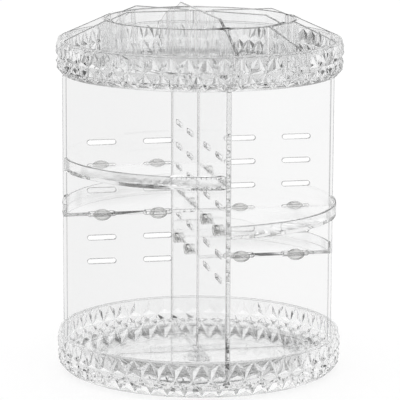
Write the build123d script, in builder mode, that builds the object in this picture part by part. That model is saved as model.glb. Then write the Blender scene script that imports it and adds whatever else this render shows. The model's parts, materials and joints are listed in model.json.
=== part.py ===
from build123d import *
import math
import os

# Rotating makeup organizer in clear acrylic, in mm. The table is z = 0 and the turning axis is
# the Z axis. The four upright panels stand along +X, +Y, -X and -Y.

# Overall size
OUTER_DIAMETER = 230.0
RIM_RADIUS = OUTER_DIAMETER / 2
WALL_THICKNESS = 3.8
WALL_INNER_RADIUS = RIM_RADIUS - WALL_THICKNESS
SKIRT_INSET = 4.7
SKIRT_OUTER_RADIUS = RIM_RADIUS - SKIRT_INSET
SKIRT_THICKNESS = 2.8
SKIRT_INNER_RADIUS = SKIRT_OUTER_RADIUS - SKIRT_THICKNESS
LIP_INSET = 1.5
LIP_RADIUS = RIM_RADIUS - LIP_INSET
LIP_HEIGHT = 1.5
LIP_EDGE = 0.5
FLOOR_THICKNESS = 2.5

# Cut-glass band round both trays
FACET_COUNT = 52
FACET_STEP = 360 / FACET_COUNT
GROOVE_DEPTH = 2.0
GROOVE_RADIUS = RIM_RADIUS - GROOVE_DEPTH
LOWER_CORNER_DEPTH = 4.0
LOWER_CORNER_RADIUS = RIM_RADIUS - LOWER_CORNER_DEPTH
LOWER_TIP_DEPTH = 0.7
LOWER_TIP_RADIUS = RIM_RADIUS - LOWER_TIP_DEPTH
UPPER_CORNER_DEPTH = 1.6
UPPER_CORNER_RADIUS = RIM_RADIUS - UPPER_CORNER_DEPTH
LOWER_CORNER_RISE = 0.035
LOWER_TIP_RISE = 0.18
LOWER_DIAMOND_RISE = 0.37
GROOVE_RISE = 0.51
UPPER_DIAMOND_RISE = 0.65
UPPER_TIP_RISE = 0.83

# Base tray
BASE_BOTTOM = 2.5
BASE_RIM_HEIGHT = 29.0
BASE_FLOOR_RISE = 9.5
BASE_FLOOR_TOP = BASE_BOTTOM + BASE_FLOOR_RISE
BASE_FLOOR_UNDERSIDE = BASE_FLOOR_TOP - FLOOR_THICKNESS

# Top tray
TOP_BOTTOM = 241.2
TOP_RIM_HEIGHT = 27.7
TOP_RIM_TOP = TOP_BOTTOM + TOP_RIM_HEIGHT
TOP_FACET_TURN = 1.2
TOP_FLOOR_RISE = 5.8
TOP_FLOOR_TOP = TOP_BOTTOM + TOP_FLOOR_RISE
TOP_FLOOR_UNDERSIDE = TOP_FLOOR_TOP - FLOOR_THICKNESS
DIVIDER_THICKNESS = 2.4
DIVIDER_RING_INSET = 38.3
DIVIDER_RING_RADIUS = RIM_RADIUS - DIVIDER_RING_INSET
DIVIDER_RING_RISE = 16.1
DIVIDER_PEAK_RISE = 22.0
DIVIDER_PEAK_INSET = 17.1
DIVIDER_PEAK_RADIUS = DIVIDER_RING_RADIUS - DIVIDER_PEAK_INSET
DIVIDER_FOOT_DEPTH = 1.3
DIVIDER_FOOT_RADIUS = WALL_INNER_RADIUS + DIVIDER_FOOT_DEPTH
DIVIDER_TURN = 3.3
INNER_DIVIDERS = [DIVIDER_TURN, DIVIDER_TURN + 90, DIVIDER_TURN + 135]
OUTER_DIVIDERS = [DIVIDER_TURN + step for step in (0, 90, 120, 150, 180, 270, 300, 330)]
POCKET_CORNER = 4.0

# Upright panels
PANEL_THICKNESS = 2.8
PANEL_WALL_GAP = 0.3
PANEL_REACH = WALL_INNER_RADIUS - PANEL_WALL_GAP
PANEL_INNER_EDGE = 1.5
PANEL_BEAD_THICKNESS = 3.8
PANEL_BEAD_WIDTH = 3.0
PANEL_BEAD_EDGE = 0.4
PANEL_TOP_CLEARANCE = 0.05
PANEL_TOP = TOP_FLOOR_UNDERSIDE - PANEL_TOP_CLEARANCE
PANEL_SHOULDER = TOP_BOTTOM - PANEL_TOP_CLEARANCE
PANEL_SHOULDER_RADIUS = SKIRT_INNER_RADIUS - PANEL_WALL_GAP

# Shelf slots through each panel: two columns and six rows
SLOT_LENGTH = 23.0
SLOT_HEIGHT = 3.7
SLOT_INNER_COLUMN = 34.2
SLOT_OUTER_INSET = 31.1
SLOT_COLUMNS = [SLOT_INNER_COLUMN, PANEL_REACH - SLOT_OUTER_INSET]
SLOT_ROW_COUNT = 6
SLOT_TOP_ROW = 186.7
SLOT_PITCH = 19.36
SLOT_ROWS = [SLOT_TOP_ROW - row * SLOT_PITCH for row in range(SLOT_ROW_COUNT)]

# Guide ribs that hold the panels' lower and upper edges
GUIDE_CLEARANCE = 0.15
GUIDE_RIB = 1.5
GUIDE_FACE = PANEL_THICKNESS / 2 + GUIDE_CLEARANCE
GUIDE_HEIGHT = 4.5
INNER_GUIDE_END = 40.0
OUTER_GUIDE_LENGTH = 16.0
OUTER_GUIDE_INSET = 23.0
OUTER_GUIDE_START = RIM_RADIUS - OUTER_GUIDE_INSET - OUTER_GUIDE_LENGTH

# Quarter shelves and the oval clips that lock them
SHELF_SETBACK = 0.7
SHELF_RADIUS = PANEL_REACH - SHELF_SETBACK
SHELF_PLATE = 2.8
SHELF_HEIGHT = 10.25
SHELF_LIP = 2.2
SHELF_PANEL_GAP = 2.1
SHELF_INNER_CORNER = 3.0
SHELF_EDGE = 0.8
TONGUE_PLAY = 0.1
TONGUE_LENGTH = 19.0
NIB_LENGTH = 8.4
NIB_THICKNESS = 1.8
NIB_REACH = 4.2
TONGUE_END_SETBACK = 0.1
CLIP_LENGTH = 14.0
CLIP_HEIGHT = 8.8
CLIP_THICKNESS = 3.6
CLIP_STAND_OFF = 0.05
CLIP_NIB_CLEARANCE = 0.1
CLIP_RIM = 1.3
CLIP_RECESS = 1.2

# Turntable under the base tray
FOOT_DISC_INSET = 13.5
FOOT_DISC_RADIUS = SKIRT_INNER_RADIUS - FOOT_DISC_INSET
FOOT_DISC_BOTTOM = 1.5
FOOT_DISC_THICKNESS = 2.0
FOOT_DISC_TOP = FOOT_DISC_BOTTOM + FOOT_DISC_THICKNESS
RACE_INSET = 5.0
RACE_WIDTH = 19.0
RACE_OUTER_RADIUS = FOOT_DISC_RADIUS - RACE_INSET
RACE_INNER_RADIUS = RACE_OUTER_RADIUS - RACE_WIDTH
RACE_CIRCLE_RADIUS = (RACE_INNER_RADIUS + RACE_OUTER_RADIUS) / 2
LOWER_RACE_TOP = 4.4
UPPER_RACE_BOTTOM = 7.3
BALL_COUNT = 12
BALL_RADIUS = 1.75
BALL_CENTRE = (LOWER_RACE_TOP + UPPER_RACE_BOTTOM) / 2
BALL_CLEARANCE = 0.05
CAGE_THICKNESS = 1.3
CAGE_WIDTH = 9.0
FOOT_PAD_COUNT = 3
FOOT_PAD_RADIUS = 7.0
FOOT_PAD_INSET = 10.0
FOOT_PAD_CIRCLE_RADIUS = FOOT_DISC_RADIUS - FOOT_PAD_INSET
FOOT_PAD_TURN = 12.0
FOOT_PAD_RECESS = 0.5
FOOT_PAD_EDGE = 0.4

# Centre pivot
PIVOT_RADIUS = 6.0
PIVOT_CLEARANCE = 0.05
HUB_RADIUS = 13.0
HUB_TOP = 7.0
HUB_RECESS_RADIUS = 10.5
HUB_RECESS_TOP = 4.2
PIVOT_END_PLAY = 0.1
PIVOT_BOTTOM = HUB_RECESS_TOP - PIVOT_END_PLAY
WASHER_RADIUS = 9.5
WASHER_THICKNESS = 1.0
SCREW_RADIUS = 1.5
SCREW_CLEARANCE = 0.02
SCREW_HEAD_RADIUS = 3.2
SCREW_HEAD_HEIGHT = 1.8
SCREW_HEAD_EDGE = 0.8
SCREW_LENGTH = 5.4
SCREW_CROSS_LENGTH = 3.4
SCREW_CROSS_WIDTH = 0.7
SCREW_CROSS_DEPTH = 0.9

# The panels by the direction that they stand in, and the shelves by the direction of their first
# panel and by how many rows of slots lie above them
PANEL_TURNS = {"right": 0, "back": 90, "left": 180, "front": 270}
SHELF_TURNS = {"back_right": 0, "back_left": 90, "front_left": 180, "front_right": 270}
ROWS_ABOVE_COUNT = {"back_right": 5, "back_left": 3, "front_left": 1, "front_right": 3}


def ring_point(radius, turn, height):
    """A point at that distance from the axis, direction in degrees and height."""
    angle = math.radians(turn)
    return (radius * math.cos(angle), radius * math.sin(angle), height)


def facet_drum(bottom, height, turn):
    """A solid drum whose side is the cut-glass band: two rows of diamonds that meet at a groove."""
    top = bottom + height - LIP_HEIGHT
    band = top - bottom
    faces = []
    foot_points = []
    head_points = []
    for step in range(FACET_COUNT):
        here = turn + step * FACET_STEP
        before = here - FACET_STEP / 2
        after = here + FACET_STEP / 2
        beyond = here + FACET_STEP
        groove = ring_point(GROOVE_RADIUS, here, bottom + GROOVE_RISE * band)
        next_groove = ring_point(GROOVE_RADIUS, beyond, bottom + GROOVE_RISE * band)
        low_before = ring_point(LOWER_CORNER_RADIUS, before, bottom + LOWER_CORNER_RISE * band)
        low_after = ring_point(LOWER_CORNER_RADIUS, after, bottom + LOWER_CORNER_RISE * band)
        high_before = ring_point(UPPER_CORNER_RADIUS, before, top)
        high_after = ring_point(UPPER_CORNER_RADIUS, after, top)
        low_tip = ring_point(LOWER_TIP_RADIUS, here, bottom + LOWER_TIP_RISE * band)
        low_diamond = ring_point(RIM_RADIUS, after, bottom + LOWER_DIAMOND_RISE * band)
        high_diamond = ring_point(RIM_RADIUS, after, bottom + UPPER_DIAMOND_RISE * band)
        high_tip = ring_point(RIM_RADIUS, here, bottom + UPPER_TIP_RISE * band)
        foot_before = ring_point(SKIRT_OUTER_RADIUS, before, bottom)
        foot_after = ring_point(SKIRT_OUTER_RADIUS, after, bottom)
        triangles = [
            (groove, next_groove, high_diamond),
            (next_groove, high_after, high_diamond),
            (high_after, groove, high_diamond),
            (high_before, groove, high_tip),
            (groove, high_after, high_tip),
            (high_after, high_before, high_tip),
            (next_groove, groove, low_diamond),
            (groove, low_after, low_diamond),
            (low_after, next_groove, low_diamond),
            (groove, low_before, low_tip),
            (low_after, groove, low_tip),
            (low_before, low_after, low_tip),
        ]
        faces += [Face(Wire.make_polygon(corners)) for corners in triangles]
        faces.append(Face(Wire.make_polygon([low_after, low_before, foot_before, foot_after])))
        foot_points.append(foot_before)
        head_points.append(high_before)
    faces.append(Face(Wire.make_polygon(foot_points)))
    faces.append(Face(Wire.make_polygon(head_points)))
    return Solid(Shell(faces))


def guide_plan():
    """Plan of the rib pairs beside the four panels. They meet round the axis as a cross."""
    rib_middle = GUIDE_FACE + GUIDE_RIB / 2
    with BuildSketch() as plan:
        with PolarLocations(0, 4):
            for side in (-1, 1):
                with Locations((GUIDE_FACE, side * rib_middle)):
                    Rectangle(INNER_GUIDE_END - GUIDE_FACE, GUIDE_RIB, align=(Align.MIN, Align.CENTER))
                with Locations((OUTER_GUIDE_START, side * rib_middle)):
                    Rectangle(OUTER_GUIDE_LENGTH, GUIDE_RIB, align=(Align.MIN, Align.CENTER))
    return plan.sketch


def make_base_tray():
    """Base tray: faceted rim, floor, panel guides and the pivot under its middle."""
    with BuildPart() as base_tray:
        add(facet_drum(BASE_BOTTOM, BASE_RIM_HEIGHT, 0))
        rim_top = BASE_BOTTOM + BASE_RIM_HEIGHT
        with BuildSketch(Plane.XY.offset(rim_top - LIP_HEIGHT)):
            Circle(LIP_RADIUS)
        extrude(amount=LIP_HEIGHT)
        with BuildSketch(Plane.XY.offset(BASE_FLOOR_TOP)):
            Circle(WALL_INNER_RADIUS)
        extrude(amount=rim_top - BASE_FLOOR_TOP, mode=Mode.SUBTRACT)
        lip_edges = base_tray.edges().filter_by(GeomType.CIRCLE).group_by(Axis.Z)[-1]
        fillet(lip_edges, LIP_EDGE)
        with BuildSketch(Plane.XY.offset(BASE_BOTTOM)):
            Circle(SKIRT_INNER_RADIUS)
        extrude(amount=BASE_FLOOR_UNDERSIDE - BASE_BOTTOM, mode=Mode.SUBTRACT)
        with BuildSketch(Plane.XY.offset(BASE_FLOOR_TOP)):
            add(guide_plan())
        extrude(amount=GUIDE_HEIGHT)
        with BuildSketch(Plane.XY.offset(PIVOT_BOTTOM)):
            Circle(PIVOT_RADIUS)
        extrude(amount=BASE_FLOOR_UNDERSIDE - PIVOT_BOTTOM)
        with BuildSketch(Plane.XY.offset(PIVOT_BOTTOM)):
            Circle(SCREW_RADIUS + SCREW_CLEARANCE)
        extrude(amount=SCREW_LENGTH, mode=Mode.SUBTRACT)
    return base_tray.part


def make_top_tray():
    """Top tray: faceted rim round fourteen compartments, walls high in the middle and low at the rim."""
    with BuildPart() as top_tray:
        add(facet_drum(TOP_BOTTOM, TOP_RIM_HEIGHT, TOP_FACET_TURN))
        with BuildSketch(Plane.XY.offset(TOP_RIM_TOP - LIP_HEIGHT)):
            Circle(LIP_RADIUS)
        extrude(amount=LIP_HEIGHT)
        lip_edges = top_tray.edges().filter_by(GeomType.CIRCLE).group_by(Axis.Z)[-1]
        fillet(lip_edges, LIP_EDGE)
        ring_inner = DIVIDER_RING_RADIUS - DIVIDER_THICKNESS
        with BuildSketch(Plane.XZ):
            with BuildLine():
                Polyline(
                    (0, TOP_FLOOR_TOP),
                    (0, TOP_RIM_TOP + DIVIDER_PEAK_RISE),
                    (DIVIDER_PEAK_RADIUS, TOP_RIM_TOP + DIVIDER_PEAK_RISE),
                    (ring_inner, TOP_RIM_TOP + DIVIDER_RING_RISE),
                    (DIVIDER_RING_RADIUS, TOP_RIM_TOP + DIVIDER_RING_RISE),
                    (DIVIDER_FOOT_RADIUS, TOP_RIM_TOP),
                    (DIVIDER_FOOT_RADIUS, TOP_FLOOR_TOP),
                    close=True,
                )
            make_face()
        revolve(axis=Axis.Z)
        pocket_depth = TOP_RIM_TOP + DIVIDER_PEAK_RISE - TOP_FLOOR_TOP
        with BuildSketch(Plane.XY.offset(TOP_FLOOR_TOP)) as inner_pockets:
            Circle(ring_inner)
            for turn in INNER_DIVIDERS:
                Rectangle(2 * RIM_RADIUS, DIVIDER_THICKNESS, rotation=turn, mode=Mode.SUBTRACT)
            fillet(inner_pockets.vertices(), POCKET_CORNER)
        extrude(amount=pocket_depth, mode=Mode.SUBTRACT)
        with BuildSketch(Plane.XY.offset(TOP_FLOOR_TOP)) as outer_pockets:
            Circle(WALL_INNER_RADIUS)
            Circle(DIVIDER_RING_RADIUS, mode=Mode.SUBTRACT)
            for turn in OUTER_DIVIDERS:
                wall_middle = ring_point(RIM_RADIUS / 2, turn, 0)
                with Locations(wall_middle):
                    Rectangle(RIM_RADIUS, DIVIDER_THICKNESS, rotation=turn, mode=Mode.SUBTRACT)
            fillet(outer_pockets.vertices(), POCKET_CORNER)
        extrude(amount=pocket_depth, mode=Mode.SUBTRACT)
        with BuildSketch(Plane.XY.offset(TOP_BOTTOM)):
            Circle(SKIRT_INNER_RADIUS)
        extrude(amount=TOP_FLOOR_UNDERSIDE - TOP_BOTTOM, mode=Mode.SUBTRACT)
        with BuildSketch(Plane.XY.offset(TOP_BOTTOM)):
            add(guide_plan())
        extrude(amount=TOP_FLOOR_UNDERSIDE - TOP_BOTTOM)
    return top_tray.part


def make_panel(turn):
    """Upright panel standing in that direction, with a thicker bead at its outer edge, twelve slots
    and a shoulder under the top tray's skirt."""
    bead_start = PANEL_REACH - PANEL_BEAD_WIDTH
    with BuildPart() as panel:
        with BuildSketch(Plane.XY.offset(BASE_FLOOR_TOP)):
            with Locations((PANEL_INNER_EDGE, 0)):
                Rectangle(PANEL_REACH - PANEL_INNER_EDGE, PANEL_THICKNESS, align=(Align.MIN, Align.CENTER))
            with Locations((bead_start, 0)):
                Rectangle(PANEL_BEAD_WIDTH, PANEL_BEAD_THICKNESS, align=(Align.MIN, Align.CENTER))
        extrude(amount=PANEL_TOP - BASE_FLOOR_TOP)
        outer_edges = panel.edges().filter_by(Axis.Z).group_by(Axis.X)[-1]
        fillet(outer_edges, PANEL_BEAD_EDGE)
        with BuildSketch(Plane.XZ):
            with Locations([(column, row) for column in SLOT_COLUMNS for row in SLOT_ROWS]):
                SlotOverall(SLOT_LENGTH, SLOT_HEIGHT)
            with Locations((PANEL_SHOULDER_RADIUS, PANEL_SHOULDER)):
                Rectangle(PANEL_REACH, PANEL_TOP, align=(Align.MIN, Align.MIN))
        extrude(amount=PANEL_BEAD_THICKNESS, both=True, mode=Mode.SUBTRACT)
    return panel.part.rotate(Axis.Z, turn)


def tongue_plane(column, along_x):
    """Plane at a tongue's root on either straight edge of the quarter between +X and +Y. Its normal
    points out through the panel and its x direction runs along the edge."""
    if along_x:
        return Plane(origin=(column, SHELF_PANEL_GAP, 0), x_dir=(1, 0, 0), z_dir=(0, -1, 0))
    return Plane(origin=(SHELF_PANEL_GAP, column, 0), x_dir=(0, -1, 0), z_dir=(-1, 0, 0))


def tongue_planes():
    """The four tongue roots of a shelf."""
    return [tongue_plane(column, along_x) for column in SLOT_COLUMNS for along_x in (True, False)]


def shelf_bottom(row):
    """Height of the underside of a shelf whose tongues rest in that row of slots."""
    return SLOT_ROWS[row] - SLOT_HEIGHT / 2 + TONGUE_PLAY


def make_shelf(turn, row):
    """Quarter shelf: plate, upright curved lip, and four tongues with a thin nib for the clip."""
    bottom = shelf_bottom(row)
    plate_middle = bottom + SHELF_PLATE / 2
    tongue_reach = SHELF_PANEL_GAP + PANEL_THICKNESS / 2 - TONGUE_END_SETBACK
    with BuildPart() as shelf:
        with BuildSketch(Plane.XY.offset(bottom)) as plate_plan:
            Circle(SHELF_RADIUS)
            with Locations((SHELF_PANEL_GAP, SHELF_PANEL_GAP)):
                Rectangle(SHELF_RADIUS, SHELF_RADIUS, align=(Align.MIN, Align.MIN), mode=Mode.INTERSECT)
            inner_corner = plate_plan.vertices().sort_by_distance((0, 0, 0))[0]
            fillet(inner_corner, SHELF_INNER_CORNER)
        extrude(amount=SHELF_HEIGHT)
        with BuildSketch(Plane.XY.offset(bottom + SHELF_PLATE)):
            Circle(SHELF_RADIUS - SHELF_LIP)
        extrude(amount=SHELF_HEIGHT - SHELF_PLATE, mode=Mode.SUBTRACT)
        curved_edges = shelf.edges().filter_by(GeomType.CIRCLE).filter_by(
            lambda edge: edge.radius > SHELF_RADIUS - SHELF_LIP / 2
        )
        fillet(curved_edges, SHELF_EDGE)
        for root in tongue_planes():
            with BuildSketch(root):
                with Locations((0, plate_middle)):
                    Rectangle(TONGUE_LENGTH, SHELF_PLATE)
            extrude(amount=tongue_reach)
            with BuildSketch(root.offset(tongue_reach)):
                with Locations((0, plate_middle)):
                    Rectangle(NIB_LENGTH, NIB_THICKNESS)
            extrude(amount=NIB_REACH)
    return shelf.part.rotate(Axis.Z, turn)


def make_clips(turn, row):
    """The four oval clips of one shelf: each has a raised rim and a slit that grips a nib."""
    nib_middle = shelf_bottom(row) + SHELF_PLATE / 2
    panel_far_face = SHELF_PANEL_GAP + PANEL_THICKNESS / 2 + CLIP_STAND_OFF
    with BuildPart() as clips:
        for root in tongue_planes():
            with BuildSketch(root.offset(panel_far_face)):
                with Locations((0, nib_middle)):
                    Ellipse(CLIP_LENGTH / 2, CLIP_HEIGHT / 2)
                    Rectangle(
                        NIB_LENGTH + 2 * CLIP_NIB_CLEARANCE,
                        NIB_THICKNESS + 2 * CLIP_NIB_CLEARANCE,
                        mode=Mode.SUBTRACT,
                    )
            extrude(amount=CLIP_THICKNESS)
            with BuildSketch(root.offset(panel_far_face + CLIP_THICKNESS - CLIP_RECESS)):
                with Locations((0, nib_middle)):
                    Ellipse(CLIP_LENGTH / 2 - CLIP_RIM, CLIP_HEIGHT / 2 - CLIP_RIM)
            extrude(amount=CLIP_RECESS, mode=Mode.SUBTRACT)
    return clips.part.rotate(Axis.Z, turn)


def ball_groove():
    """The ring-shaped path of the balls, a little wider than a ball."""
    with BuildPart() as groove:
        with BuildSketch(Plane.XZ):
            with Locations((RACE_CIRCLE_RADIUS, BALL_CENTRE)):
                Circle(BALL_RADIUS + BALL_CLEARANCE)
        revolve(axis=Axis.Z)
    return groove.part


def make_foot_disc():
    """Foot disc that stays still on the table: lower ball race, hub and recesses for the pads."""
    with BuildPart() as foot_disc:
        with BuildSketch(Plane.XY.offset(FOOT_DISC_BOTTOM)):
            Circle(FOOT_DISC_RADIUS)
        extrude(amount=FOOT_DISC_THICKNESS)
        with BuildSketch(Plane.XY.offset(FOOT_DISC_TOP)):
            Circle(RACE_OUTER_RADIUS)
            Circle(RACE_INNER_RADIUS, mode=Mode.SUBTRACT)
        extrude(amount=LOWER_RACE_TOP - FOOT_DISC_TOP)
        with BuildSketch(Plane.XY.offset(FOOT_DISC_TOP)):
            Circle(HUB_RADIUS)
        extrude(amount=HUB_TOP - FOOT_DISC_TOP)
        with BuildSketch(Plane.XY.offset(FOOT_DISC_BOTTOM)):
            Circle(HUB_RECESS_RADIUS)
        extrude(amount=HUB_RECESS_TOP - FOOT_DISC_BOTTOM, mode=Mode.SUBTRACT)
        with Locations((0, 0, HUB_TOP)):
            Hole(PIVOT_RADIUS + PIVOT_CLEARANCE)
        add(ball_groove(), mode=Mode.SUBTRACT)
        with BuildSketch(Plane.XY.offset(FOOT_DISC_BOTTOM)):
            with PolarLocations(FOOT_PAD_CIRCLE_RADIUS, FOOT_PAD_COUNT, start_angle=FOOT_PAD_TURN):
                Circle(FOOT_PAD_RADIUS)
        extrude(amount=FOOT_PAD_RECESS, mode=Mode.SUBTRACT)
    return foot_disc.part


def make_rubber_feet():
    """Round rubber pads under the foot disc."""
    with BuildPart() as rubber_feet:
        with BuildSketch(Plane.XY):
            with PolarLocations(FOOT_PAD_CIRCLE_RADIUS, FOOT_PAD_COUNT, start_angle=FOOT_PAD_TURN):
                Circle(FOOT_PAD_RADIUS)
        extrude(amount=FOOT_DISC_BOTTOM + FOOT_PAD_RECESS)
        chamfer(rubber_feet.edges().group_by(Axis.Z)[0], FOOT_PAD_EDGE)
    return rubber_feet.part


def make_upper_race():
    """Race ring under the base tray's floor."""
    with BuildPart() as upper_race:
        with BuildSketch(Plane.XY.offset(UPPER_RACE_BOTTOM)):
            Circle(RACE_OUTER_RADIUS)
            Circle(RACE_INNER_RADIUS, mode=Mode.SUBTRACT)
        extrude(amount=BASE_FLOOR_UNDERSIDE - UPPER_RACE_BOTTOM)
        add(ball_groove(), mode=Mode.SUBTRACT)
    return upper_race.part


def make_ball_cage():
    """Flat ring that keeps the balls apart."""
    with BuildPart() as ball_cage:
        with BuildSketch(Plane.XY.offset(BALL_CENTRE)):
            Circle(RACE_CIRCLE_RADIUS + CAGE_WIDTH / 2)
            Circle(RACE_CIRCLE_RADIUS - CAGE_WIDTH / 2, mode=Mode.SUBTRACT)
            with PolarLocations(RACE_CIRCLE_RADIUS, BALL_COUNT):
                Circle(BALL_RADIUS + BALL_CLEARANCE, mode=Mode.SUBTRACT)
        extrude(amount=CAGE_THICKNESS / 2, both=True)
    return ball_cage.part


def make_bearing_balls():
    """Steel balls."""
    with BuildPart() as bearing_balls:
        with Locations((0, 0, BALL_CENTRE)):
            with PolarLocations(RACE_CIRCLE_RADIUS, BALL_COUNT):
                Sphere(BALL_RADIUS)
    return bearing_balls.part


def make_pivot_washer():
    """Washer that holds the foot disc on the pivot."""
    with BuildPart() as pivot_washer:
        with BuildSketch(Plane.XY.offset(PIVOT_BOTTOM - WASHER_THICKNESS)):
            Circle(WASHER_RADIUS)
            Circle(SCREW_RADIUS + SCREW_CLEARANCE, mode=Mode.SUBTRACT)
        extrude(amount=WASHER_THICKNESS)
    return pivot_washer.part


def make_pivot_screw():
    """Cross-head screw from below into the base tray's pivot."""
    head_top = PIVOT_BOTTOM - WASHER_THICKNESS
    with BuildPart() as pivot_screw:
        with BuildSketch(Plane.XY.offset(head_top - SCREW_HEAD_HEIGHT)):
            Circle(SCREW_HEAD_RADIUS)
        extrude(amount=SCREW_HEAD_HEIGHT)
        fillet(pivot_screw.edges().group_by(Axis.Z)[0], SCREW_HEAD_EDGE)
        with BuildSketch(Plane.XY.offset(head_top)):
            Circle(SCREW_RADIUS)
        extrude(amount=SCREW_LENGTH)
        with BuildSketch(Plane.XY.offset(head_top - SCREW_HEAD_HEIGHT)):
            Rectangle(SCREW_CROSS_LENGTH, SCREW_CROSS_WIDTH)
            Rectangle(SCREW_CROSS_WIDTH, SCREW_CROSS_LENGTH)
        extrude(amount=SCREW_CROSS_DEPTH, mode=Mode.SUBTRACT)
    return pivot_screw.part


pieces = {
    "foot_disc": make_foot_disc(),
    "rubber_feet": make_rubber_feet(),
    "ball_cage": make_ball_cage(),
    "bearing_balls": make_bearing_balls(),
    "upper_race": make_upper_race(),
    "pivot_washer": make_pivot_washer(),
    "pivot_screw": make_pivot_screw(),
    "base_tray": make_base_tray(),
    "top_tray": make_top_tray(),
}
for side, panel_turn in PANEL_TURNS.items():
    pieces[f"{side}_panel"] = make_panel(panel_turn)
for corner, shelf_turn in SHELF_TURNS.items():
    slot_row = ROWS_ABOVE_COUNT[corner]
    pieces[f"{corner}_shelf"] = make_shelf(shelf_turn, slot_row)
    pieces[f"{corner}_clips"] = make_clips(shelf_turn, slot_row)

os.makedirs("parts", exist_ok=True)
for piece_name, piece in pieces.items():
    piece.label = piece_name
    export_step(piece, f"parts/{piece_name}.step")
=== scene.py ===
import json
import math

import bmesh
import bpy
from mathutils import Euler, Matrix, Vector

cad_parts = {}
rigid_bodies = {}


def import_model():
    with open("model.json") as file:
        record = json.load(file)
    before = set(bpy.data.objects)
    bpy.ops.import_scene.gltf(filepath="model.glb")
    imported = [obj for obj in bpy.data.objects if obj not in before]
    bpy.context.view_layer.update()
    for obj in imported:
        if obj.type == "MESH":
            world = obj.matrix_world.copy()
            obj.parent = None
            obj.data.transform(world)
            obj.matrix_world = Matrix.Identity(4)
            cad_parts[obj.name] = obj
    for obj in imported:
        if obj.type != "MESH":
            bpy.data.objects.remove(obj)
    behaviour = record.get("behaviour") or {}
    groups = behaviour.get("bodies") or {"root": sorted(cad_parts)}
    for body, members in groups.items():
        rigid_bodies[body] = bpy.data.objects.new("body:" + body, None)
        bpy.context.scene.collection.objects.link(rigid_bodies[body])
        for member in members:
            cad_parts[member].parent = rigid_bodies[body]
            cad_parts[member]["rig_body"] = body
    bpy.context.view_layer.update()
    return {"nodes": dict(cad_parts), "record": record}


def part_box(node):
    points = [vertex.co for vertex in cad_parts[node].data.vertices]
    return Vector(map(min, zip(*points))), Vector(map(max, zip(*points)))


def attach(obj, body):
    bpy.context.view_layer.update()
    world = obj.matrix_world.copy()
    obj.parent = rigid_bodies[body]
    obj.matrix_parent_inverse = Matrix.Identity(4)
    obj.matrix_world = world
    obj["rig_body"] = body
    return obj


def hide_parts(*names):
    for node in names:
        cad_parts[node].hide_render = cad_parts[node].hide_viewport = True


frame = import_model()

# Every size is in metres
MM = 0.001

# Camera, fitted to the photograph: it stands in front and a little to the left of the organizer.
# Angles are in radians, the lens and the sensor in millimetres.
CAMERA_DISTANCE = 1.963
CAMERA_HEIGHT = 0.5202
CAMERA_TURN = math.radians(11.7)
CAMERA_YAW = 0.00062
CAMERA_PITCH = 0.1928
CAMERA_ROLL = 0.0044
CAMERA_LENS = 223.1
CAMERA_FAR_END = 60.0
SENSOR_WIDTH = 36.0
SHIFT_X = -0.002
SHIFT_Y = -0.0003

# Heights and radii nearer to each other than a hair count as the same
HAIR = 0.1 * MM

# Cut-glass band round both trays. It lies outside its radius, faces outwards by at least its slant
# and ends under the lip. Rim heights are above each tray's own foot.
BAND_RADIUS = 109.5 * MM
BAND_SLANT = 0.3
LIP_HEIGHT = 1.5 * MM
TRAY_RIM_HEIGHTS = {"base_tray": 29.0 * MM, "top_tray": 27.7 * MM}

# One step of facets, from a stretch of the band without a seam, is repeated all the way round. The
# top tray's facets are turned a little.
FACET_STEPS = 52
FACET_STEP = math.tau / FACET_STEPS
FACET_TURNS = {"base_tray": 0.0, "top_tray": math.radians(1.2)}
STEP_START = 9.75 * FACET_STEP
WELD_DISTANCE = 0.004 * MM

# Moulded edges: two faces that turn by the edge angle or more meet in an edge that is rounded, in
# strips. Triangles that turn by less than the flat angle are joined into one face.
EDGE_ANGLE = math.radians(14)
FLAT_ANGLE = math.radians(0.2)
EDGE_SEGMENTS = 3

# How wide the edges of each material are rounded
EDGE_WIDTHS = {
    "tray_acrylic": 0.2 * MM,
    "panel_acrylic": 0.35 * MM,
    "shelf_acrylic": 0.25 * MM,
    "clip_acrylic": 0.25 * MM,
    "turntable_plastic": 0.2 * MM,
    "cage_plastic": 0.1 * MM,
    "screw_steel": 0.05 * MM,
    "foot_rubber": 0.1 * MM,
}

# Edges with widths of their own: the tops of the dividers, the inner edge of a tray's lip, and the
# inner corners of the other pieces
DIVIDER_EDGE = 0.7 * MM
LIP_INNER_EDGE = 0.4 * MM
LIP_INNER_RADIUS = 111.2 * MM
INNER_CORNER = 0.04 * MM

# Edges along the top of a shelf's lip that are too short to be rounded
TINY_EDGE = 0.22 * MM
SHELF_LIP_RADIUS = 109 * MM

# The widths are multiplied by these shares in turn, until every face is filled as it should be,
# with no more than the slack too much or too little
EDGE_SHARES = (1.0, 0.85, 0.7, 0.5, 0.0)
COVER_SLACK = 10 * MM * MM

# A piece's materials while its edges are rounded
BODY = 0
ROUNDED = 1

# Air round each piece, so that pieces that touch don't share a surface
AIR_GAP = 0.02 * MM

# Rounded edges are marked for the painted edge shade, but not low down where pieces stand in the base
# tray
PAINTED_EDGE_SHADE_MARK = "painted_edge_shade"
SEAT_TOP = 17 * MM

# Steel balls
BALL_COUNT = 12
BALL_SEGMENTS = 32
BALL_RINGS = 16

# Acrylic: it greys a little through its depth, and its rounded edges get painted shade, grey lines in the
# colour
ACRYLIC_IOR = 1.49
DEPTH_COLOUR = (0.5, 0.5, 0.5, 1)
DEPTH_GREY = 1.0
# Painted edge shade: greys put into the colour of the rounded edges for the dark lines that bent light
# draws there
PAINTED_EDGE_SHADE_DARK = (0.25, 0.25, 0.25, 1)
PAINTED_EDGE_SHADE_LIGHT = (0.38, 0.38, 0.38, 1)
CLOUD_SCALE = 35.0
WAVE_SCALE = 14.0
WAVE_HEIGHT = 1 * MM
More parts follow.
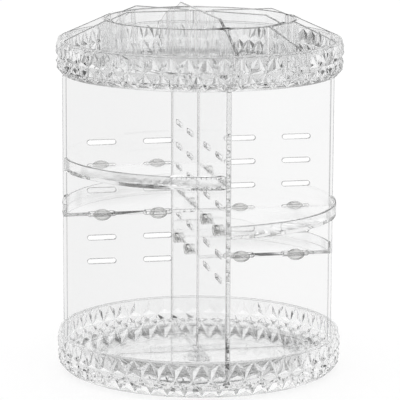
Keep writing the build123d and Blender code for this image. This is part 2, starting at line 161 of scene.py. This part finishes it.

# For each acrylic: its colour where clear, where cloudy, its painted edge shade, and how wavy it is
ACRYLICS = {
    "tray_acrylic": ((0.99, 0.99, 0.99, 1), (0.975, 0.977, 0.978, 1), PAINTED_EDGE_SHADE_DARK, 0.02),
    "panel_acrylic": ((0.98, 0.98, 0.98, 1), (0.965, 0.967, 0.968, 1), PAINTED_EDGE_SHADE_LIGHT, 0.015),
    "shelf_acrylic": ((0.985, 0.985, 0.985, 1), (0.97, 0.972, 0.973, 1), PAINTED_EDGE_SHADE_LIGHT, 0.02),
    "clip_acrylic": ((0.8, 0.8, 0.79, 1), (0.76, 0.76, 0.75, 1), PAINTED_EDGE_SHADE_LIGHT, 0.03),
    "turntable_plastic": ((0.985, 0.985, 0.985, 1), (0.96, 0.962, 0.964, 1), PAINTED_EDGE_SHADE_LIGHT, 0.02),
    "cage_plastic": ((0.93, 0.93, 0.92, 1), (0.9, 0.9, 0.89, 1), PAINTED_EDGE_SHADE_LIGHT, 0.04),
}

# Steel, with cloudy wear: bright colour, dull colour and roughness
WEAR_SCALE = 400.0
WEAR_DETAIL = 4.0
WEAR_ROUGHNESS = 0.15
STEELS = {
    "ball_steel": ((0.75, 0.76, 0.78, 1), (0.6, 0.61, 0.63, 1), 0.08),
    "screw_steel": ((0.7, 0.71, 0.72, 1), (0.55, 0.55, 0.56, 1), 0.2),
}

# Rubber, with a fine grain
RUBBER_COLOUR = (0.6, 0.6, 0.6, 1)
RUBBER_WORN = (0.5, 0.5, 0.5, 1)
RUBBER_ROUGHNESS = 0.6
SCUFF_SCALE = 60.0
GRAIN_SCALE = 1500.0
GRAIN_ROUGHNESS = 0.12
GRAIN_STRENGTH = 0.1
GRAIN_HEIGHT = 0.1 * MM

# How many surfaces of clear acrylic a ray of light may pass
LIGHT_BOUNCES = 96

# Ground: its glow as the acrylic sees it, how much whiter it is where it is looked at, and its gaps.
# Pairs of lengths are where a change of level starts and ends.
GROUND_SIZE = 12.0
GROUND_COLOUR = (0.25, 0.25, 0.25, 1)
GROUND_GLOW = 0.82
GROUND_WHITENING = 0.05
GROUND_GAP_START = (0.6, 0.8)
GROUND_GAP_DEPTH = 0.7
UNDER_PART = (0.1, 0.13)
UNDER_PART_GLOW = 1.15
LEFT_TO_RIGHT = (-0.12, 0.12)
LEFT_GLOW = 0.93

# Studio: white walls with dark gaps between them, a dark band above the walls and a lamp at the top.
# The gaps are set out on a wave between -1 and 1 that comes once in each quarter. The other pairs
# are how steeply a direction points up, from 0 for level to 1 for straight up.
QUARTERS = 4
GAP_MIDDLE = -0.4
GAP_WIDTH = (0.25, 0.4)
WALL_LEVEL = 1.0
WALL_TOP = (0.24, 0.34)
GAP_LEVEL = 0.08
LAMP_LEVEL = 1.8
LAMP_EDGE = (0.82, 0.9)
WHITE = (1, 1, 1, 1)

# Sockets of the Mix node when it mixes colours
MIX_FACTOR = 0
MIX_FIRST = 6
MIX_SECOND = 7
MIX_RESULT = 2


class Wire:
    """A socket that adds Math nodes where it stands in an expression."""

    def __init__(self, finish, socket):
        self.finish = finish
        self.socket = socket

    def math(self, operation, *values):
        inputs = dict(enumerate(values))
        return self.finish.node("ShaderNodeMath", {"operation": operation}, inputs).out()

    def __add__(self, other):
        return self.math("ADD", self, other)

    def __radd__(self, other):
        return self.math("ADD", other, self)

    def __sub__(self, other):
        return self.math("SUBTRACT", self, other)

    def __rsub__(self, other):
        return self.math("SUBTRACT", other, self)

    def __mul__(self, other):
        return self.math("MULTIPLY", self, other)

    def __rmul__(self, other):
        return self.math("MULTIPLY", other, self)

    def __truediv__(self, other):
        return self.math("DIVIDE", self, other)


class Placed:
    """A placed node, whose outputs are asked for by name or number."""

    def __init__(self, finish, node):
        self.finish = finish
        self.node = node

    def out(self, key=0):
        return Wire(self.finish, self.node.outputs[key])


class Finish:
    """The node tree of a material, of the world or of a repeated shape."""

    def __init__(self, tree):
        self.tree = tree
        self.tree.nodes.clear()

    def node(self, kind, settings=None, inputs=None):
        """Adds a node: its settings first, then the values or links of its sockets."""
        made = self.tree.nodes.new(kind)
        for name, value in (settings or {}).items():
            setattr(made, name, value)
        for key, value in (inputs or {}).items():
            if isinstance(value, Placed):
                value = value.out()
            if isinstance(value, Wire):
                self.tree.links.new(value.socket, made.inputs[key])
            else:
                made.inputs[key].default_value = value
        return Placed(self, made)

    def place(self):
        """Where on the object a point lies."""
        return self.node("ShaderNodeTexCoord").out("Object")

    def noise(self, scale, detail=2.0):
        """Soft cloudy variation through the object, from 0 to 1."""
        return self.node(
            "ShaderNodeTexNoise", {}, {"Vector": self.place(), "Scale": scale, "Detail": detail}
        ).out("Fac")

    def blend(self, factor, first, second):
        """A colour between two."""
        inputs = {MIX_FACTOR: factor, MIX_FIRST: first, MIX_SECOND: second}
        return self.node("ShaderNodeMix", {"data_type": "RGBA"}, inputs).out(MIX_RESULT)

    def ramp(self, value, span, first, last):
        """Goes smoothly from the first level to the last while the value crosses the span."""
        return self.node(
            "ShaderNodeMapRange",
            {"interpolation_type": "SMOOTHSTEP"},
            {"Value": value, "From Min": span[0], "From Max": span[1], "To Min": first, "To Max": last},
        ).out()

    def bump(self, height, strength, distance):
        """Raises the surface a little by the height's pattern."""
        return self.node(
            "ShaderNodeBump", {}, {"Strength": strength, "Distance": distance, "Height": height}
        ).out()

    def surface(self, inputs, thickness_grey=None):
        """Ends the material with one Principled surface, and perhaps a body that greys with depth."""
        ends = {"Surface": self.node("ShaderNodeBsdfPrincipled", {}, inputs)}
        if thickness_grey:
            ends["Volume"] = self.node(
                "ShaderNodeVolumeAbsorption", {}, {"Color": DEPTH_COLOUR, "Density": thickness_grey}
            )
        self.node("ShaderNodeOutputMaterial", {}, ends)


def new_finish(name):
    """A new material with an empty node tree."""
    material = bpy.data.materials.new(name)
    material.use_nodes = True
    return material, Finish(material.node_tree)


def clear_acrylic(name, clear, cloudy, edge, waviness):
    """Clear polished acrylic, very slightly grey in clouds, with painted shade in its colour along the
    rounded edges, and the faint waves of a moulded sheet."""
    material, finish = new_finish(name)
    # Painted shade: where the rounded strips are marked, the colour takes the edge grey, as dark lines
    # that stand in for light bent away at the edges
    painted_shade_at_edge = finish.node("ShaderNodeAttribute", {"attribute_name": PAINTED_EDGE_SHADE_MARK}).out("Fac")
    sheet = finish.blend(finish.noise(CLOUD_SCALE), clear, cloudy)
    finish.surface(
        {
            "Base Color": finish.blend(painted_shade_at_edge, sheet, edge),
            "Roughness": 0.0,
            "IOR": ACRYLIC_IOR,
            "Transmission Weight": 1.0,
            "Normal": finish.bump(finish.noise(WAVE_SCALE), waviness, WAVE_HEIGHT),
        },
        DEPTH_GREY,
    )
    return material


def soft_rubber(name):
    """Matt rubber with a fine grain, scuffed in places."""
    material, finish = new_finish(name)
    grain = finish.noise(GRAIN_SCALE)
    finish.surface(
        {
            "Base Color": finish.blend(finish.noise(SCUFF_SCALE), RUBBER_COLOUR, RUBBER_WORN),
            "Roughness": RUBBER_ROUGHNESS + GRAIN_ROUGHNESS * grain,
            "Normal": finish.bump(grain, GRAIN_STRENGTH, GRAIN_HEIGHT),
        }
    )
    return material


def polished_steel(name, bright, dull, roughness):
    """Polished steel with cloudy wear."""
    material, finish = new_finish(name)
    wear = finish.noise(WEAR_SCALE, WEAR_DETAIL)
    finish.surface(
        {
            "Base Color": finish.blend(wear, bright, dull),
            "Metallic": 1.0,
            "Roughness": roughness + WEAR_ROUGHNESS * wear,
        }
    )
    return material


def make_camera():
    """The photograph's camera."""
    data = bpy.data.cameras.new("camera")
    data.sensor_width = SENSOR_WIDTH
    data.lens = CAMERA_LENS
    data.shift_x = SHIFT_X
    data.shift_y = SHIFT_Y
    data.clip_end = CAMERA_FAR_END
    camera = in_scene("camera", data)
    camera.location = (
        -math.sin(CAMERA_TURN) * CAMERA_DISTANCE,
        -math.cos(CAMERA_TURN) * CAMERA_DISTANCE,
        CAMERA_HEIGHT,
    )
    turn = Euler((math.pi / 2 - CAMERA_PITCH, 0, -CAMERA_TURN - CAMERA_YAW), "XYZ").to_matrix()
    roll = Euler((0, 0, CAMERA_ROLL), "XYZ").to_matrix()
    camera.rotation_euler = (turn @ roll).to_euler()
    bpy.context.scene.camera = camera


def between_gaps(finish, across, along):
    """0 in the dark gaps, two in each quarter of the studio, and 1 in front of its white walls."""
    quarter = across.math("COSINE", QUARTERS * across.math("ARCTAN2", across, along))
    return finish.ramp(across.math("ABSOLUTE", quarter - GAP_MIDDLE), GAP_WIDTH, 0.0, 1.0)


def ground_glow(finish):
    """White ground where it is looked at, and gaps further out where the acrylic looks at it."""
    place = finish.node("ShaderNodeSeparateXYZ", {}, {0: finish.place()})
    across = place.out("X")
    along = place.out("Y")
    reach = across.math("SQRT", across * across + along * along)
    gap = (1.0 - between_gaps(finish, across, along)) * finish.ramp(reach, GROUND_GAP_START, 0.0, 1.0)
    path = finish.node("ShaderNodeLightPath")
    camera_ray = path.out("Is Camera Ray")
    acrylic_ray = camera_ray.math("MAXIMUM", path.out("Is Glossy Ray"), path.out("Is Transmission Ray"))
    under = finish.ramp(reach, UNDER_PART, UNDER_PART_GLOW, 1.0)
    sideways = across * math.cos(CAMERA_TURN) - along * math.sin(CAMERA_TURN)
    side = finish.ramp(sideways, LEFT_TO_RIGHT, LEFT_GLOW, 1.0)
    through = (1.0 - GROUND_GAP_DEPTH * gap) * GROUND_GLOW * under * side * acrylic_ray
    return camera_ray.math("MAXIMUM", through, (GROUND_GLOW + GROUND_WHITENING) * camera_ray)


def make_ground():
    """White ground that keeps a faint shadow."""
    mesh = bpy.data.meshes.new("ground")
    shape = bmesh.new()
    bmesh.ops.create_grid(shape, x_segments=1, y_segments=1, size=GROUND_SIZE)
    shape.to_mesh(mesh)
    shape.free()
    ground = in_scene("ground", mesh)
    material, finish = new_finish("white_ground")
    matt = finish.node("ShaderNodeBsdfDiffuse", {}, {"Color": GROUND_COLOUR})
    glow = finish.node("ShaderNodeEmission", {}, {"Strength": ground_glow(finish)})
    both = finish.node("ShaderNodeAddShader", {}, {0: matt, 1: glow})
    finish.node("ShaderNodeOutputMaterial", {}, {"Surface": both})
    mesh.materials.append(material)


def light_studio():
    """The studio that the acrylic looks at, and plain white where the camera looks past the part."""
    world = bpy.data.worlds.new("studio")
    bpy.context.scene.world = world
    world.use_nodes = True
    finish = Finish(world.node_tree)
    direction = finish.node("ShaderNodeTexCoord").out("Generated")
    parts = finish.node("ShaderNodeSeparateXYZ", {}, {0: direction})
    height = parts.out("Z")
    wall = between_gaps(finish, parts.out("X"), parts.out("Y"))
    low = finish.ramp(height, WALL_TOP, 1.0, 0.0)
    top = finish.ramp(height, LAMP_EDGE, 0.0, 1.0)
    level = GAP_LEVEL + (WALL_LEVEL - GAP_LEVEL) * (wall * low) + (LAMP_LEVEL - GAP_LEVEL) * top
    sky = finish.node("ShaderNodeBackground", {}, {"Color": WHITE, "Strength": level})
    white = finish.node("ShaderNodeBackground", {}, {"Color": WHITE, "Strength": 1.0})
    camera_ray = finish.node("ShaderNodeLightPath").out("Is Camera Ray")
    both = finish.node("ShaderNodeMixShader", {}, {"Fac": camera_ray, 1: sky, 2: white})
    finish.node("ShaderNodeOutputWorld", {}, {"Surface": both})


def in_scene(name, data):
    """A new object, linked to the scene."""
    made = bpy.data.objects.new(name, data)
    bpy.context.scene.collection.objects.link(made)
    return made


def evaluated(piece):
    """The piece with its modifiers, as a plain mesh."""
    graph = bpy.context.evaluated_depsgraph_get()
    return bpy.data.meshes.new_from_object(
        piece.evaluated_get(graph), preserve_all_data_layers=True, depsgraph=graph
    )


def keep(piece, mesh):
    """Ends the piece's modifiers with that mesh."""
    piece.modifiers.clear()
    piece.data = mesh
    return piece


def repeat_tree():
    """Geometry nodes that set copies of a shape round the axis and weld them into one skin."""
    tree = bpy.data.node_groups.new("repeat_round_axis", "GeometryNodeTree")
    tree.interface.new_socket("Shape", in_out="INPUT", socket_type="NodeSocketGeometry")
    tree.interface.new_socket("Steps", in_out="INPUT", socket_type="NodeSocketInt")
    tree.interface.new_socket("Weld Distance", in_out="INPUT", socket_type="NodeSocketFloat")
    tree.interface.new_socket("Material", in_out="INPUT", socket_type="NodeSocketMaterial")
    tree.interface.new_socket("Shape", in_out="OUTPUT", socket_type="NodeSocketGeometry")
    nodes = Finish(tree)
    given = nodes.node("NodeGroupInput")
    steps = given.out("Steps")
    points = nodes.node("GeometryNodePoints", {}, {"Count": steps})
    turn = nodes.node("GeometryNodeInputIndex").out() * math.tau / steps
    copies = nodes.node(
        "GeometryNodeInstanceOnPoints",
        {},
        {
            "Points": points,
            "Instance": given.out("Shape"),
            "Rotation": nodes.node("ShaderNodeCombineXYZ", {}, {"Z": turn}),
        },
    )
    skin = nodes.node("GeometryNodeRealizeInstances", {}, {"Geometry": copies})
    welded = nodes.node(
        "GeometryNodeMergeByDistance", {}, {"Geometry": skin, "Distance": given.out("Weld Distance")}
    )
    dressed_skin = nodes.node(
        "GeometryNodeSetMaterial", {}, {"Geometry": welded, "Material": given.out("Material")}
    )
    nodes.node("NodeGroupOutput", {}, {"Shape": dressed_skin})
    return tree


def repeated(name, shape, steps, material):
    """The shape repeated round the axis, as a piece of its own."""
    mesh = bpy.data.meshes.new(name)
    shape.to_mesh(mesh)
    shape.free()
    piece = in_scene(name, mesh)
    values = {"Steps": steps, "Weld Distance": WELD_DISTANCE, "Material": material}
    modifier = piece.modifiers.new("round_axis", "NODES")
    modifier.node_group = REPEAT
    for socket in REPEAT.interface.items_tree:
        if socket.in_out == "INPUT" and socket.name in values:
            modifier[socket.identifier] = values[socket.name]
    return keep(piece, evaluated(piece))


def welded_copy(node):
    """The node's mesh as one closed skin."""
    mesh = frame["nodes"][node].data.copy()
    mesh.attributes.remove(mesh.attributes["custom_normal"])
    shape = bmesh.new()
    shape.from_mesh(mesh)
    bmesh.ops.remove_doubles(shape, verts=shape.verts, dist=WELD_DISTANCE)
    return shape


def in_band(place, facing, node):
    """Tells whether a face belongs to a tray's cut-glass band: outside, below the lip, facing out."""
    if node not in TRAY_RIM_HEIGHTS:
        return False
    radius = math.hypot(place.x, place.y)
    slant = (facing.x * place.x + facing.y * place.y) / max(radius, HAIR)
    return radius > BAND_RADIUS and slant > BAND_SLANT and place.z < BAND_TOPS[node]


def band_faces(shape, node):
    """The faces of a tray's cut-glass band."""
    return [face for face in shape.faces if in_band(face.calc_center_median(), face.normal, node)]


def in_first_step(face, node):
    """Tells whether a face of the band lies in the one step of facets that is repeated."""
    middle = face.calc_center_median()
    turn = math.atan2(middle.y, middle.x) - FACET_TURNS[node] - STEP_START
    return turn % math.tau < FACET_STEP


def take_away(shape, faces):
    """Takes those faces out of the shape."""
    bmesh.ops.delete(shape, geom=list(faces), context="FACES")


def cut_glass_tray(node, material):
    """The tray with its cut-glass band made of one step of facets that is repeated round the rim."""
    step = welded_copy(node)
    kept = {face for face in band_faces(step, node) if in_first_step(face, node)}
    take_away(step, [face for face in step.faces if face not in kept])
    band = repeated(node + "_looks", step, FACET_STEPS, material)
    tray = welded_copy(node)
    take_away(tray, band_faces(tray, node))
    tray.from_mesh(band.data)
    bmesh.ops.remove_doubles(tray, verts=tray.verts, dist=WELD_DISTANCE)
    tray.to_mesh(band.data)
    tray.free()
    return band


def steel_balls(node, material):
    """The ring of balls: one ball is repeated round the axis."""
    low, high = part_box(node)
    radius = (high[2] - low[2]) / 2
    ball = bmesh.new()
    bmesh.ops.create_uvsphere(ball, u_segments=BALL_SEGMENTS, v_segments=BALL_RINGS, radius=radius)
    bmesh.ops.translate(ball, verts=ball.verts, vec=(high[0] - radius, 0, low[2] + radius))
    for face in ball.faces:
        face.smooth = True
    return repeated(node + "_looks", ball, BALL_COUNT, material)


def polished_copy(node):
    """The node's closed skin as a piece of its own."""
    mesh = bpy.data.meshes.new(node + "_looks")
    shape = welded_copy(node)
    shape.to_mesh(mesh)
    shape.free()
    return in_scene(node + "_looks", mesh)


def radius_of(vertex):
    """How far a vertex is from the turning axis."""
    return math.hypot(*vertex.co.xy)


def edge_width(edge, usual, rim_top):
    """How wide an edge is rounded. A tray has a rim, inside whose lip and above which it is wider."""
    if edge.calc_face_angle(0) < EDGE_ANGLE:
        return 0
    if rim_top is None:
        return usual if edge.is_convex else INNER_CORNER
    heights = [vertex.co.z for vertex in edge.verts]
    level = all(abs(height - rim_top) < HAIR for height in heights)
    at_lip = all(abs(radius_of(vertex) - LIP_INNER_RADIUS) < HAIR for vertex in edge.verts)
    if level and at_lip:
        return LIP_INNER_EDGE
    if min(heights) > rim_top - HAIR and max(heights) > rim_top + HAIR:
        return DIVIDER_EDGE
    return usual


def well_filled(mesh):
    """Tells whether the triangles of each face cover the face and nothing beside it."""
    mesh.calc_loop_triangles()
    covered = [0.0] * len(mesh.polygons)
    for triangle in mesh.loop_triangles:
        covered[triangle.polygon_index] += triangle.area
    return all(abs(covered[face.index] - face.area) < COVER_SLACK for face in mesh.polygons)


def close_tiny_edges(shape):
    """Closes up the tiny edges along the top of a shelf's lip, so that the lip is rounded evenly."""
    top = max(vertex.co.z for vertex in shape.verts) - TINY_EDGE
    lip = [vertex for vertex in shape.verts if vertex.co.z > top and radius_of(vertex) > SHELF_LIP_RADIUS]
    bmesh.ops.remove_doubles(shape, verts=lip, dist=TINY_EDGE)


def make_ready(piece, node, usual_width):
    """Joins the triangles of flat faces, says how wide each edge is rounded, and leaves a little air
    round the piece."""
    shape = bmesh.new()
    shape.from_mesh(piece.data)
    if node.endswith("_shelf"):
        close_tiny_edges(shape)
    bmesh.ops.dissolve_limit(
        shape, angle_limit=FLAT_ANGLE, verts=shape.verts, edges=shape.edges, use_dissolve_boundaries=False
    )
    shape.normal_update()
    weights = shape.edges.layers.float.new("bevel_weight_edge")
    rim_top = None
    if node in TRAY_RIM_HEIGHTS:
        rim_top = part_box(node)[0][2] + TRAY_RIM_HEIGHTS[node]
    for edge in shape.edges:
        edge[weights] = edge_width(edge, usual_width, rim_top) / DIVIDER_EDGE
    for vertex in shape.verts:
        vertex.co -= vertex.normal * AIR_GAP
    for face in shape.faces:
        face.smooth = True
        face.material_index = BODY
    shape.to_mesh(piece.data)
    shape.free()


def round_edges(piece, material):
    """Rounds the edges. The rounded strips get the second material, by which they are known."""
    for _ in (BODY, ROUNDED):
        piece.data.materials.append(material)
    bevel = piece.modifiers.new("moulded_edges", "BEVEL")
    bevel.segments = EDGE_SEGMENTS
    bevel.limit_method = "WEIGHT"
    bevel.use_clamp_overlap = False
    bevel.harden_normals = True
    bevel.loop_slide = False
    bevel.material = ROUNDED
    for share in EDGE_SHARES:
        bevel.width = DIVIDER_EDGE * share
        mesh = evaluated(piece)
        if well_filled(mesh):
            break
    keep(piece, mesh)


def mark_painted_edge_shade(piece, node):
    """Marks the rounded edges for the painted edge shade in the material, except between the facets of
    the cut glass and where the pieces stand in the base tray."""
    mesh = piece.data
    # Painted shade: rounded strips above the seat are marked to take the grey edge colour
    painted_shade_marks = mesh.attributes.new(PAINTED_EDGE_SHADE_MARK, "FLOAT", "FACE")
    for face in mesh.polygons:
        rounded = face.material_index == ROUNDED and face.center.z > SEAT_TOP
        painted_shade_marks.data[face.index].value = float(rounded and not in_band(face.center, face.normal, node))
        face.material_index = BODY


def moulded_piece(node, material, usual_width):
    """The node's piece with its moulded edges rounded and marked for painted edge shade."""
    piece = cut_glass_tray(node, material) if node in TRAY_RIM_HEIGHTS else polished_copy(node)
    piece.data.materials.clear()
    make_ready(piece, node, usual_width)
    round_edges(piece, material)
    mark_painted_edge_shade(piece, node)
    return piece


def dress(piece, node, material):
    """Gives the piece its material and lets it stand for the node."""
    piece.data.materials.clear()
    piece.data.materials.append(material)
    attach(piece, frame["nodes"][node]["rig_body"])
    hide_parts(node)


make_camera()
make_ground()
light_studio()
bpy.context.scene.view_settings.view_transform = "Standard"
bpy.context.scene.cycles.max_bounces = LIGHT_BOUNCES
bpy.context.scene.cycles.transmission_bounces = LIGHT_BOUNCES
bpy.context.scene.cycles.glossy_bounces = LIGHT_BOUNCES

FINISHES = {name: clear_acrylic(name, *look) for name, look in ACRYLICS.items()}
FINISHES.update((name, polished_steel(name, *look)) for name, look in STEELS.items())
FINISHES["foot_rubber"] = soft_rubber("foot_rubber")
BAND_TOPS = {
    node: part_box(node)[0][2] + height - LIP_HEIGHT - HAIR for node, height in TRAY_RIM_HEIGHTS.items()
}
REPEAT = repeat_tree()

for row in frame["record"]["subparts"]:
    name = row["node"]
    slot = row["material_slot"]
    material = FINISHES[slot]
    if name == "bearing_balls":
        piece = steel_balls(name, material)
    else:
        piece = moulded_piece(name, material, EDGE_WIDTHS[slot])
    dress(piece, name, material)
